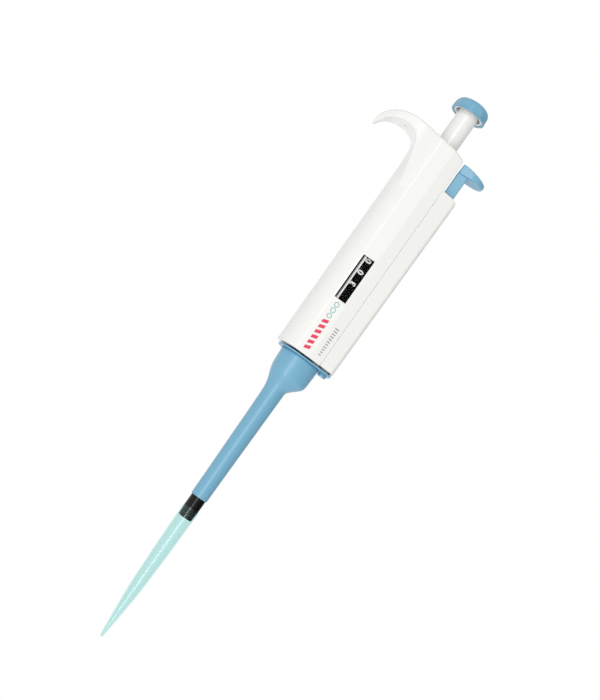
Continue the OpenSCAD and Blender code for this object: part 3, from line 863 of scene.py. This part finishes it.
# %% Ring round the screw
SCREW_LOW, SCREW_R, BOSS_R = ends("arm_screw")[0][2], 1.45, 2.1
boss = prism("screw_boss", circle(BOSS_R, ROD_X, 0, 48), SCREW_LOW - 0.05, FLANGE_TOP - PLATE_H,
             PLATE_BEVEL, "ejector", "blue_plastic")
cut(boss, block(circle(SCREW_R, ROD_X, 0, 48), SCREW_LOW - 1, FLANGE_TOP + 1))

# %% [markdown]
# ## Tip, cone and stem
# These are turned shapes. Each profile goes up the outside and down the inside, with small rounds
# on the corners so that edges catch the light.

# %% Disposable tip
tip_outer = curve_through([(0.66, TIP_LOW), (0.85, -63), (1.2, -59.8), (1.55, -56.3), (2.2, -48.9),
                           (2.8, -41.7), (3.12, -36), (3.25, -30.9), (3.5, -23.3), (3.7, -16.3),
                           (3.8, -8), (3.93, -1)], 6)
tip_rim = fillet([(3.93, -1), (3.97, 2.3), (4.12, 2.7), (4.12, 3.9), (3.78, 4.4), (3.76, TIP_RIM),
                  (3.735, TIP_RIM)], 0.16)
tip_inner = [(3.73, TIP_RIM - 0.05), (3.73, TIP_RIM - 0.7), (3.5, -0.1), (3.36, -0.7), (3.3, -4),
             (3.22, -14), (2.95, -24), (2.72, -33), (2.3, -41), (1.65, -49), (1.08, -56),
             (0.72, -60.5), (0.42, -63), (0.4, TIP_LOW)]
TIP_TURNS = 128
tip_outside = list(tip_outer[:-1]) + tip_rim[1:]
shell = lathe("tip_shell", tip_outside + tip_inner, "tip", "teal_tip", "tip", TIP_TURNS)
shell.data.materials.append(TIP_INSIDE)
for face in shell.data.polygons[len(tip_outside) * TIP_TURNS:]:
    face.material_index = 1

# %% [markdown]
# The cone that the tip pushes onto is black, with a groove for a small rubber ring near its end.

# %% Tip cone
CONE_TOP = ends("tip_cone")[1][2]
NECK_R = 3.675
cone_outer = fillet([(1.5, 0), (3.1, 0), (3.4, 0.35), (3.42, 1.4), (2.95, 1.4), (2.95, 2.6),
                     (3.45, 2.6), (NECK_R - 0.02, 4.9), (NECK_R, 5.5), (NECK_R, 13), (3.4, 14),
                     (3.4, CONE_TOP - 7), (5.6, CONE_TOP - 5), (5.6, CONE_TOP - 3),
                     (3.6, CONE_TOP - 3), (3.6, CONE_TOP), (1.5, CONE_TOP)], 0.15, 3)
lathe("cone", cone_outer, "housing", "black_plastic", "tip_cone", 128)
o_ring = closed_fillet([(2.95, 1.45), (3.4, 1.45), (3.48, 2.0), (3.4, 2.55), (2.95, 2.55)], 0.2)
lathe("cone_o_ring", o_ring, "housing", "seal_rubber", "cone_ring")

# %% [markdown]
# The white stem is a tube with a foot that keeps it in the handle. A white ring sits in the knob's
# underside and shows as a pale circle from below.

# %% Stem and the ring under the knob
STEM_LOW, STEM_TOP = ends("stem")[0][2], ends("stem")[1][2]
STEM_BORE, STEM_R, STEM_FOOT_R, STEM_FOOT = 4.2, 5.05, 7.0, 2
stem_tube = [(STEM_BORE, STEM_LOW), (STEM_FOOT_R, STEM_LOW), (STEM_FOOT_R, STEM_LOW + STEM_FOOT),
             (STEM_R, STEM_LOW + STEM_FOOT), (STEM_R, STEM_TOP), (STEM_BORE, STEM_TOP)]
lathe("stem_tube", closed_fillet(stem_tube, 0.12, 3), "knob", "white_plastic", "stem", 128)

RING_LOW, RING_TOP = ends("knob_ring")[0][2], ends("knob_ring")[1][2]
RING_IN, RING_OUT = 6.25, 7.28
under_ring = [(RING_IN, RING_LOW), (RING_OUT, RING_LOW), (RING_OUT, RING_TOP), (RING_IN, RING_TOP)]
lathe("under_ring", closed_fillet(under_ring, 0.25), "knob", "white_plastic", "knob_ring")

# %% [markdown]
# ## The knob
# The knob is a low dome with nine flats cut down its side, so each flat ends in an arc on top. A
# round lip runs under the flats. The field is the dome and nine planes, joined with tight rounds.

# %% Knob
KNOB_R, FLATS, FIRST_CORNER = 8.55, 9, math.radians(-95.2)
DOME = curve_through([(8.5, 0), (8.5, 1), (8.42, 2.6), (8.0, 4.2), (7.0, 5.45), (4.6, 6.3), (0, 6.6)], 6)
DOME_SHAPE = np.concatenate([DOME, DOME[::-1] * [-1, 1]])
FLAT_AT = KNOB_R * math.cos(math.pi / FLATS) + 0.02
LIP_H, GROOVE_R, GROOVE_H, DEEP_R, DEEP_H = 0.75, 7.3, 1.95, 6.2, 2.7
POST_R, POST_H = 5.07, 2.8


def round_groove(r, h, outer, deep):
    """A ring-shaped hollow round the stem, open at the bottom."""
    return smax(smax(STEM_R - r, r - outer, 0.1), h - deep, 0.1)


def knob_field(x, y, z):
    r = np.hypot(x, y)
    h = z - KNOB_LOW
    dome = inside_polygon(r, h, DOME_SHAPE)
    flats = np.full(x.shape, -9.0)
    for k in range(FLATS):
        a = FIRST_CORNER + (k + 0.5) * 2 * math.pi / FLATS
        flats = smax(flats, x * math.cos(a) + y * math.sin(a) - FLAT_AT, 0.04)
    facets = smax(dome, flats, 0.1)
    lip = smax(r - KNOB_R, h - LIP_H, 0.3)
    solid = smax(smin(facets, lip, 0.15), -h, 0.3)
    groove = round_groove(r, h, GROOVE_R, GROOVE_H)
    deep = round_groove(r, h, DEEP_R, DEEP_H)
    post = smax(r - POST_R, h - POST_H, 0.1)
    hollow = np.minimum(np.minimum(groove, deep), post)
    return smax(solid, -hollow, 0.15)


moulding("push_knob", knob_field, (-9.5, -9.5, KNOB_LOW - 0.8), (9.5, 9.5, KNOB_TOP + 0.8), 0.22,
         "knob", "blue_plastic", "knob")

# %% [markdown]
# ## The ejector button
# A blue thumb plate with a D-shaped plan slopes down to a rounded end. Its stem runs down into the
# cover. Plate and stem meet in a small fillet.

# %% Button
BUTTON_LOW, BUTTON_BACK = 196.4, 11.0
PLATE_STEM_X, PLATE_STEM_W, PLATE_STEM_D, PLATE_STEM_TOP = 13.55, 2.55, 4.2, BUTTON_LOW + 2
PLATE_SIDE = np.concatenate([[(11, BUTTON_LOW)], curve_through(
    [(11, 200.8), (12.5, 200.9), (16, 200.4), (21, 199.3), (24.1, 198.5), (24.68, 197.9),
     (24.68, 197.0), (24.2, 196.5), (23.2, BUTTON_LOW)], 5)])
PLATE_PLAN = curve_through([(10.9, 4.8), (14, 5.1), (18, 5.3), (21.5, 4.5), (23.9, 2.6), (24.7, 0)], 5)
PLATE_TOP_VIEW = np.concatenate([PLATE_PLAN, PLATE_PLAN[::-1] * [1, -1]])


def button_field(x, y, z):
    side = inside_polygon(x, z, PLATE_SIDE)
    plan = inside_polygon(x, y, PLATE_TOP_VIEW)
    plate = smax(side, plan, 0.5)
    stem = smax(np.abs(x - PLATE_STEM_X) - PLATE_STEM_W, np.abs(y) - PLATE_STEM_D, 0.5)
    middle = (BUTTON_BASE + PLATE_STEM_TOP) / 2
    stem = smax(stem, np.abs(z - middle) - (PLATE_STEM_TOP - BUTTON_BASE) / 2, 0.3)
    both = smin(plate, stem, 0.6)
    return smax(both, BUTTON_BACK - x, 0.3)


moulding("thumb_button", button_field, (10, -6.5, BUTTON_BASE - 1), (26, 6.5, 202), 0.36,
         "ejector", "blue_plastic", "ejector_button")

# %% [markdown]
# ## Window, drums and digits
# The lens is a clear bar with a bowed front. Behind it four drums carry printed digits, read with
# their tops towards the hook. A digit is text turned into a mesh, with its corners moved onto its
# drum, and each drum's digits ride with it. Curved digits have corners enough to follow the drum. A 1
# has none along its stroke, so its middle dips under the surface, and finer faces would cure that.
# A white strip and a grey strip behind the lens are painted light: a painted highlight and a
# weaker painted reflection of the softbox in the lens.

# %% Lens and painted lens highlight
LENS_BACK, LENS_FRONT, LENS_BOW = 1.15 + POCKET, POCKET + 0.12, 0.16
bow = [on_display(u, -LENS_FRONT + LENS_BOW * (1 - (u / LENS_HALF) ** 2))
       for u in np.linspace(LENS_HALF, -LENS_HALF, 13)]
lens_outline = [on_display(-LENS_HALF, -LENS_BACK), on_display(LENS_HALF, -LENS_BACK)] + bow
prism("lens", lens_outline, LENS_LOW + 0.02, LENS_TOP - 0.02, 0.08, "housing", "window_clear",
      "window_lens")


# Painted light: a thin ink strip behind the lens that stands for light reflected in the lens.
def painted_reflection_strip(name, u0, u1, material):
    back, out = -LENS_BACK - 0.03, -LENS_BACK - 0.01
    outline = [on_display(u0, back), on_display(u1, back), on_display(u1, out), on_display(u0, out)]
    prism(name, outline, LENS_LOW + 0.1, LENS_TOP - 0.1, 0, "housing", "white_plastic", None, material)


# The white strip is a painted highlight and the grey strip a weaker painted reflection of the softbox in
# the lens.
painted_reflection_strip("painted_lens_highlight", -1.68, -1.0, WHITE_INK_AND_PAINTED_HIGHLIGHT)
painted_reflection_strip("painted_lens_reflection", -2.1, -1.8, GREY_INK_AND_PAINTED_REFLECTION)

# %% Digits
DIGIT_H, DIGIT_W, FIRST_AT, STEP = 3.1, 2.3, math.radians(-90 + 6.5), math.radians(36)
INK_LIFT, STROKE = 0.02, 0.04


def text_mesh(word):
    curve = bpy.data.curves.new("word", "FONT")
    curve.body = word
    curve.size = 1.0
    curve.offset = STROKE
    curve.resolution_u = 4
    holder = put("word", curve)
    graph = bpy.context.evaluated_depsgraph_get()
    mesh = bpy.data.meshes.new_from_object(holder.evaluated_get(graph))
    points = np.array([v.co[:2] for v in mesh.vertices])
    faces = [tuple(p.vertices) for p in mesh.polygons]
    bpy.data.objects.remove(holder)
    bpy.data.curves.remove(curve)
    bpy.data.meshes.remove(mesh)
    points = points - (points.min(0) + points.max(0)) / 2
    return points / (points[:, 1].max() * 2), faces


def drum_digits(node, body, words):
    low, high = ends(node)
    middle = (low[2] + high[2]) / 2
    points, faces = [], []
    for k, word in enumerate(words):
        if word == " ":
            continue
        flat, cells = text_mesh(word)
        widest = max(np.ptp(flat[:, 0]), 0.35)
        start = len(points)
        for u, v in flat:
            a = FIRST_AT - k * STEP - v * DIGIT_H / DRUM_R
            z = middle + u * min(DIGIT_W / widest, DIGIT_H * 0.95)
            points.append(((DRUM_R + INK_LIFT) * math.cos(a), (DRUM_R + INK_LIFT) * math.sin(a), z))
        faces += [tuple(start + i for i in cell) for cell in cells]
    piece_from(node.replace("drum", "digits"), points, faces, body, "drum_black", None, WHITE_INK_AND_PAINTED_HIGHLIGHT, False)


drum_digits("units_drum", "drive", "0505050505")
drum_digits("tens_drum", "tens", "0123456789")
drum_digits("hundreds_drum", "hundreds", "3456789012")
drum_digits("thousands_drum", "thousands", " 1        ")

# %% [markdown]
# ## Plain marks
# Where a maker would print a name, the handle has plain marks: slanted red bars, open teal hexagons
# and, on the sloping flat, a row of small grey ticks that grows like a volume scale.

# %% Marks
def mark(name, loops, place, material):
    """Thin printed shapes. Each loop is a list of (u, z); place turns them into points."""
    points, faces = [], []
    for loop in loops:
        start = len(points)
        points += [place(u, z) for u, z in loop]
        faces.append(tuple(range(start, start + len(loop))))
    piece_from(name, points, faces, "housing", "white_plastic", None, material, False)


def display_place(u, z):
    return on_display(u, INK_LIFT, z)


def slope_place(u, z):
    mid = (FACET_B + SEAM) / 2
    along = (SEAM - FACET_B) / np.linalg.norm(SEAM - FACET_B)
    x, y = mid + u * along + INK_LIFT * SLOPE_N
    return (x, y, z)


BARS_AT, BAR_STEP, RINGS_AT, RING_STEP, TICKS_AT, TICK_STEP = 91.6, 2.75, 109.6, 2.9, 92.9, 1.35
bars = []
for k in range(6):
    z = BARS_AT + k * BAR_STEP
    bars.append([(-1.3, z), (1.5, z + 0.9), (1.5, z + 2.5), (-1.3, z + 1.6)])
mark("red_bars", bars, display_place, INK_RED)


def hexagon_ring(u, z, outer, inner):
    strips = []
    for k in range(6):
        a, b = math.radians(60 * k), math.radians(60 * k + 60)
        strips.append([(u + r * math.sin(t), z + r * math.cos(t))
                       for r, t in ((outer, a), (outer, b), (inner, b), (inner, a))])
    return strips


rings = [s for k in range(3) for s in hexagon_ring(0.1, RINGS_AT + k * RING_STEP, 1.35, 0.95)]
mark("teal_rings", rings, display_place, INK_TEAL)
ticks = []
for k in range(11):
    z = TICKS_AT + k * TICK_STEP
    tall = 0.6 + 0.05 * k
    ticks.append([(-tall, z), (tall, z), (tall, z + 0.6), (-tall, z + 0.6)])
mark("grey_ticks", ticks, slope_place, GREY_INK_AND_PAINTED_REFLECTION)

# %% [markdown]
# ## The floor
# The part hangs over a plain pale floor. A wide sheet of paper that glows a little stays pale, where
# a plain white sheet under this light would look grey.

# %% Floor
FLOOR_Z, FLOOR_R = -1000.0, 2600.0
floor_mesh = bpy.data.meshes.new("floor")
floor_mesh.from_pydata([(x * FLOOR_R * MM, y * FLOOR_R * MM, FLOOR_Z * MM)
                        for x, y in ((-1, -1), (1, -1), (1, 1), (-1, 1))], [], [(0, 1, 2, 3)])
floor = put("floor", floor_mesh)
floor_finish = Finish("floor_paper", Specular_IOR_Level=0.0, Emission_Color=(1, 1, 1, 1),
                      Emission_Strength=0.45)
grain = floor_finish.cloud(3.0)
floor_finish.colour(floor_finish.blend(grain, (0.93, 0.93, 0.93, 1), (0.95, 0.95, 0.95, 1)))
floor_finish.roughness(0.9 + grain * 0.05)
floor.data.materials.append(floor_finish.material)
floor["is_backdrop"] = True

# %% [markdown]
# ## The light
# Soft studio light: one tall softbox beside the camera draws the long streaks on tube and tip, and
# the sky does the rest.

# %% Softbox
def softbox(name, place, target, width, height, power):
    data = bpy.data.lights.new(name, "AREA")
    data.shape = "RECTANGLE"
    data.size = width * MM
    data.size_y = height * MM
    data.energy = power
    lamp = put(name, data)
    lamp.location = Vector(place) * MM
    aim = (Vector(target) - Vector(place)) * MM
    lamp.rotation_mode = "QUATERNION"
    lamp.rotation_quaternion = aim.to_track_quat("-Z", "Y")
    print(name, power, "W")


LIGHT_Z = 90
softbox("softbox", (-90, -730, LIGHT_Z), (0, 0, LIGHT_Z), 180, 1200, 4.0)

# %% [markdown]
# The sky isn't one real sky but three. Seen straight it is white, for a plain background. As a
# light it is dim, and a little brighter from the sides. In a mirror it is a bright wall on the left
# that falls away on the right, which is what rounds off the glossy blue parts.

# %% Sky
world = bpy.data.worlds.new("studio")
bpy.context.scene.world = world
world.use_nodes = True
world.node_tree.nodes.clear()
sky = Tree(world.node_tree)
direction = sky.node("ShaderNodeTexCoord", output=0)
to_right = sky.node("ShaderNodeSeparateXYZ", {}, [direction], output=0)
upward = sky.node("ShaderNodeSeparateXYZ", {}, [direction], output=2)
sideways = to_right.maths("ABSOLUTE", to_right, 0.0)
glow = 0.34 + sideways * 0.27 + to_right * 0.03 + upward * 0.06
falling = sky.node("ShaderNodeMapRange", {}, {"Value": to_right, "From Min": 0.2, "From Max": 0.95})
mirrored = 1.2 - falling * 1.05
in_gloss = sky.node("ShaderNodeLightPath", output="Is Glossy Ray")
strength = glow + (mirrored - glow) * in_gloss
seen_straight = sky.node("ShaderNodeLightPath", output="Is Camera Ray")
seen_through = sky.node("ShaderNodeLightPath", output="Is Transmission Ray")
seen = seen_straight.maths("MAXIMUM", seen_straight, seen_through)
lit = sky.node("ShaderNodeBackground", {}, {"Color": (1, 1, 1, 1), "Strength": strength})
white = sky.node("ShaderNodeBackground", {}, {"Color": (1, 1, 1, 1), "Strength": 1.0})
both = sky.node("ShaderNodeMixShader", {}, [seen, lit, white])
sky.node("ShaderNodeOutputWorld", {}, {"Surface": both}, output=None)
bpy.context.scene.view_settings.view_transform = "Standard"
bpy.context.scene.cycles.use_denoising = True

# %% [markdown]
# ## Sizes
# Both boxes, the frame's and the dressed one's, are printed so that they can be compared. The
# looks must fill the same box as the frame.

# %% Write the two boxes and finish
dressed_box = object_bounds()
for name, box in (("frame", cad_box), ("dressed", dressed_box)):
    print(name, [[round(v / MM, 2) for v in corner] for corner in box])
